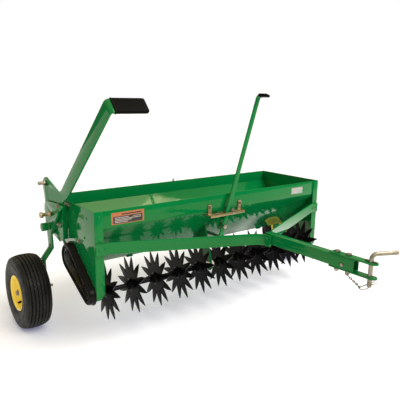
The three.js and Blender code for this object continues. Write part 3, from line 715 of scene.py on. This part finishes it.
def hitch_pin():
    """A round bar bent to an L, its lower end chamfered, and a spring clip through it."""
    out = Vector((math.cos(HANDLE_HEADING), math.sin(HANDLE_HEADING), 0))
    foot = at(0, HITCH_Y, PIN_LOW)
    path = [foot + Vector((0, 0, z)) * MM for z in (0, 2, 12, 40, 60)]
    corner = at(0, HITCH_Y, PIN_TOP - PIN_BEND_R)
    for k in range(11):
        a = math.radians(90 * k / 10)
        turned = Vector((0, 0, 1)) * math.sin(a) + out * (1 - math.cos(a))
        path.append(corner + turned * PIN_BEND_R * MM)
    path.append(at(0, HITCH_Y, PIN_TOP) + out * 50 * MM)
    path.append(at(0, HITCH_Y, PIN_TOP) + out * (HANDLE_END - 1) * MM)
    bm = bmesh.new()
    tube(bm, path, PIN_R, 20)
    tube(bm, [at(0, HITCH_Y + y, STOP_Z) for y in (-STOP_HALF, STOP_HALF)], STOP_R, 14)
    piece("hitch_pin_bar", bm, ZINC, "hitch_pin", ["hitch_pin"], bevel=1.1 * MM,
          smooth=math.radians(50))

    def flat(x, y):
        return at(x, HITCH_Y + y, CLIP_Z)

    wire = [flat(24, 0), flat(8, 0), flat(-16, 0), flat(-34, 0)]
    wire += [flat(-44 + 10 * math.cos(a), -8 + 8 * math.sin(a))
             for a in (math.radians(90 + 180 * k / 10) for k in range(1, 10))]
    wire += spun([flat(-44, -16), flat(-30, -16.4), flat(-14, -10.5), flat(0, -8.7), flat(9, -10.4),
                  flat(17, -13.5)], 6)
    bm = bmesh.new()
    tube(bm, wire, 1.5, 10)
    piece("hairpin_wire", bm, ZINC, "hitch_pin", ["hairpin_clip"], smooth=math.radians(60))


LINK_LENGTH, LINK_WIDTH, LINK_WIRE, LINK_STEP = 13.0, 7.0, 1.15, 9.8


def chain_link(bm, place, along, up):
    """One oval chain link, centred on a place; along is its long way."""
    side = along.cross(up).normalized()
    straight = (LINK_LENGTH - LINK_WIDTH) / 2
    radius = LINK_WIDTH / 2 - LINK_WIRE
    path = []
    for k in range(17):
        a = math.tau * k / 16
        push = straight if math.cos(a) > 1e-6 else -straight
        if abs(math.cos(a)) <= 1e-6:
            push = 0
        across = side * radius * math.sin(a)
        path.append(place + (along * (radius * math.cos(a) + push) + across) * MM)
    tube(bm, path, LINK_WIRE, 8, caps=False)


def clip_chain():
    """A short chain that keeps the clip: it hangs from the front hitch bolt to the clip."""
    bolt_end, clip_end = at(-6, -564, 128), at(-48, -636, 121)
    between = [at(-10, -576, 124), at(-18, -593, 121), at(-30, -612, 121)]
    line = spun([bolt_end, *between, clip_end], 12)
    bm = bmesh.new()
    travelled, due, count = 0.0, 0.0, 0
    for a, b in zip(line, line[1:]):
        length = (b - a).length
        while due <= travelled + length:
            place = a.lerp(b, (due - travelled) / length)
            along = (b - a).normalized()
            up = along.orthogonal().normalized()
            up = up if count % 2 else along.cross(up)
            chain_link(bm, place, along, up)
            due += LINK_STEP * MM
            count += 1
        travelled += length
    chain = piece("clip_chain", bm, ZINC, None, smooth=math.radians(60))
    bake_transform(chain)


hitch_pin()
clip_chain()


# ------------------------------------------------------------------ bolts, rivets and labels
def frame_fasteners():
    """Bright bolts that hold the brackets, the guard and the hopper, and painted rivets."""
    bm = bmesh.new()
    for side in (-1, 1):
        out = Vector((side, 0, 0))
        panel = side * 520.2
        bolt(bm, at(panel, 80, 154), out, 10, 4.5, 0.3, washer=8, stud=2)
        for y, z in ((160, 259), (150, 259)):
            bolt(bm, at(panel, y, z), out, 8, 4, 0.5, stud=1)
        for y, z in ((195, 187), (187, 236)):
            bolt(bm, at(side * 538.2, y, z), out, 11, 5, 0.2, washer=9, stud=3)
    bolt(bm, at(-8, 293.4, 270.4), Vector((0, 0, 1)), 7, 4, 0.3, stud=8)
    for x, turn in ((-76, 0.2), (66, 0.7)):
        bolt(bm, at(x, -34.6, 230), FORWARD, 9, 5, turn, washer=6.5, stud=3)
    bolt(bm, at(-13.2, -551, 153), LEFT, 9, 3, 0.3)
    piece("frame_bolts", bm, ZINC, "root", smooth=math.radians(25))

    bm = bmesh.new()
    for side in (-1, 1):
        for z in (252, 180, 40):
            dome(bm, at(side * 504, -34.1, z), FORWARD, 4.6, 2.4)
        for x in (side * 508, side * 488):
            dome(bm, at(x, -40.3, 153), FORWARD, 5.5, 2.6)
        for y, z in ((20, 240), (120, 240), (220, 240), (40, 175), (90, 112)):
            dome(bm, at(side * 520.1, y, z), Vector((side, 0, 0)), 4.2, 1.8)
    for x in (-400, -200, 200, 400):
        dome(bm, at(x, 294.1, 250), Vector((0, 1, 0)), 4.6, 2.2)
    piece("frame_rivets", bm, GREEN, "root", smooth=math.radians(50))


def lift_fasteners():
    """Two bolts on the lift plate and the painted bosses on the ends of the lift shaft."""
    bm = bmesh.new()
    bolt(bm, at(-551.2, 166, 258), LEFT, 10, 5, 0.4, washer=8, stud=2)
    bolt(bm, at(-551.2, 262, 100), LEFT, 9, 4, 0.1)
    piece("lift_bolts", bm, ZINC, "lift", smooth=math.radians(25))

    bm = bmesh.new()
    end, radius, length = 576.0, 14.5, 18.0
    for side in (-1, 1):
        ring = [PIVOT + Vector((side * end, radius * math.sin(a), radius * math.cos(a))) * MM
                for a in (math.tau * k / 24 for k in range(24))]
        inner = [p + Vector((-side * length, 0, 0)) * MM for p in ring]
        loft(bm, [inner, ring])
    piece("shaft_bosses", bm, GREEN, "lift", bevel=1.6 * MM, segments=3,
          smooth=math.radians(40))


def axle_bolt(side, inward):
    """The bolt that a wheel turns on: head outside the rim, nut and threaded end inside the arm."""
    hub = HUBS[side]
    bm = bmesh.new()
    bolt(bm, hub - inward * 34.2 * MM, -inward, 13, 5, 0.3, washer=8.5)
    tube(bm, [hub - inward * 34.6 * MM, hub + inward * 64 * MM], 5.9, 16)
    bolt(bm, hub + inward * 63.1 * MM, inward, 16, 9, 0.2, washer=11, stud=13)
    piece(f"{side}_axle_bolt", bm, ZINC, "lift", [f"{side}_wheel_bolt"],
          smooth=math.radians(25))


LABEL_Y, LABEL_T, LAYER_STEP = -31.15, 0.2, 0.12


def label(name, x0, x1, z0, z1, layers):
    """A generic label of plain bars on the front band, with no lettering."""
    for order, (suffix, material, boxes) in enumerate(layers):
        bm = bmesh.new()
        for left, right, low, high in boxes:
            corners = [
                (x0 + (x1 - x0) * left, z0 + (z1 - z0) * low),
                (x0 + (x1 - x0) * right, z0 + (z1 - z0) * low),
                (x0 + (x1 - x0) * right, z0 + (z1 - z0) * high),
                (x0 + (x1 - x0) * left, z0 + (z1 - z0) * high),
            ]
            y = LABEL_Y - LAYER_STEP * order
            back = [at(x, y, z) for x, z in corners]
            front = [at(x, y - LABEL_T, z) for x, z in corners]
            loft(bm, [back, front])
        piece(f"{name}_{suffix}", bm, material, "root")


def print_ink(name, base):
    """Ink on a label, under a thin clear coat."""
    g = Graph(name, base, 0.4, Coat_Weight=0.3)
    g.tint(g.ranged(g.noise(160.0, 3), 0.5, 0.8, 0.0, 0.3), tuple(c * 0.8 for c in base))
    g.rough(g.noise(90.0, 2), 0.35, 0.48)
    return g.material


def labels():
    """An orange label with dark panels at the left, a small silver one at the right."""
    orange = print_ink("label_orange", (0.42, 0.12, 0.03))
    black = print_ink("label_black", (0.012, 0.008, 0.007))
    pale = print_ink("label_pale", (0.5, 0.42, 0.38))
    silver = print_ink("label_silver", (0.3, 0.36, 0.32))
    bars = [(0.1, 0.52, 0.52, 0.57), (0.1, 0.9, 0.39, 0.44), (0.1, 0.62, 0.27, 0.32),
            (0.1, 0.5, 0.14, 0.19), (0.66, 0.9, 0.52, 0.56)]
    label("left_label", -462, -346, 222, 260, [
        ("ground", orange, [(0, 1, 0, 1)]),
        ("panel", black, [(0.05, 0.95, 0.06, 0.66), (0.3, 0.92, 0.76, 0.86)]),
        ("bars", pale, bars),
    ])
    label("right_label", 356, 424, 226, 252, [
        ("ground", silver, [(0, 1, 0, 1)]),
        ("bars", pale, [(0.08, 0.92, 0.68, 0.84), (0.08, 0.6, 0.2, 0.3), (0.08, 0.6, 0.4, 0.5)]),
    ])


frame_fasteners()
lift_fasteners()
axle_bolt("left", -LEFT)
axle_bolt("right", LEFT)
labels()


# ------------------------------------------------------------------ floor and light
HORIZON, ZENITH = 0.08, 0.95  # strength of the warm surroundings, from eye level up
BRIGHT_FROM = 0.75  # height of the view direction from which they are at full strength
WARM = (1.0, 0.92, 0.66, 1)
FLOOR_HALF = 30.0


def make_floor():
    """A pale floor that glows a little, so that it meets the backdrop without a line."""
    mesh = bpy.data.meshes.new("floor")
    corners = [(x * FLOOR_HALF, y * FLOOR_HALF, 0) for x, y in ((-1, -1), (1, -1), (1, 1), (-1, 1))]
    mesh.from_pydata(corners, [], [(0, 1, 2, 3)])
    floor = bpy.data.objects.new("floor", mesh)
    bpy.context.scene.collection.objects.link(floor)
    pale = Graph("floor", (0.92, 0.92, 0.95), 0.8, Specular_IOR_Level=0.1,
                 Emission_Color=(0.55, 0.6, 1, 1), Emission_Strength=0.22)
    mesh.materials.append(pale.material)


def make_world():
    """A studio that is dark at eye level and bright overhead, in front of a white backdrop."""
    world = bpy.data.worlds.new("studio")
    world.use_nodes = True
    tree = world.node_tree
    light = tree.nodes["Background"]
    light.inputs["Color"].default_value = WARM
    split = tree.nodes.new("ShaderNodeSeparateXYZ")
    tree.links.new(tree.nodes.new("ShaderNodeTexCoord").outputs["Generated"], split.inputs[0])
    rise = tree.nodes.new("ShaderNodeMapRange")
    rise.interpolation_type = "SMOOTHSTEP"
    for socket, number in zip(("From Min", "From Max", "To Min", "To Max"),
                              (0.0, BRIGHT_FROM, HORIZON, ZENITH)):
        rise.inputs[socket].default_value = number
    tree.links.new(split.outputs["Z"], rise.inputs["Value"])
    tree.links.new(rise.outputs["Result"], light.inputs["Strength"])
    backdrop = tree.nodes.new("ShaderNodeBackground")
    backdrop.inputs["Color"].default_value = (1, 1, 1, 1)
    mix = tree.nodes.new("ShaderNodeMixShader")
    path = tree.nodes.new("ShaderNodeLightPath")
    tree.links.new(path.outputs["Is Camera Ray"], mix.inputs[0])
    tree.links.new(light.outputs[0], mix.inputs[1])
    tree.links.new(backdrop.outputs[0], mix.inputs[2])
    tree.links.new(mix.outputs[0], tree.nodes["World Output"].inputs["Surface"])
    bpy.context.scene.world = world


def light(kind, name, place, target, power, **values):
    """A lamp at a place that points at a target."""
    data = bpy.data.lights.new(name, kind)
    data.energy = power
    for key, value in values.items():
        setattr(data, key, value)
    lamp = bpy.data.objects.new(name, data)
    lamp.location = place
    lamp.rotation_euler = (Vector(target) - Vector(place)).to_track_quat("-Z", "Y").to_euler()
    bpy.context.scene.collection.objects.link(lamp)


def stage():
    """Floor, surroundings, a soft sun from the front and a softbox above the right end."""
    make_floor()
    make_world()
    bpy.context.scene.view_settings.view_transform = "Standard"
    light("SUN", "daylight", (0.5, -2.2, 2.4), (0, 0, 0.3), 1.5, angle=math.radians(40))
    light("AREA", "softbox", (1.15, -0.85, 2.35), (-0.2, 0.2, 0.3), 29, size=1.1)


stage()
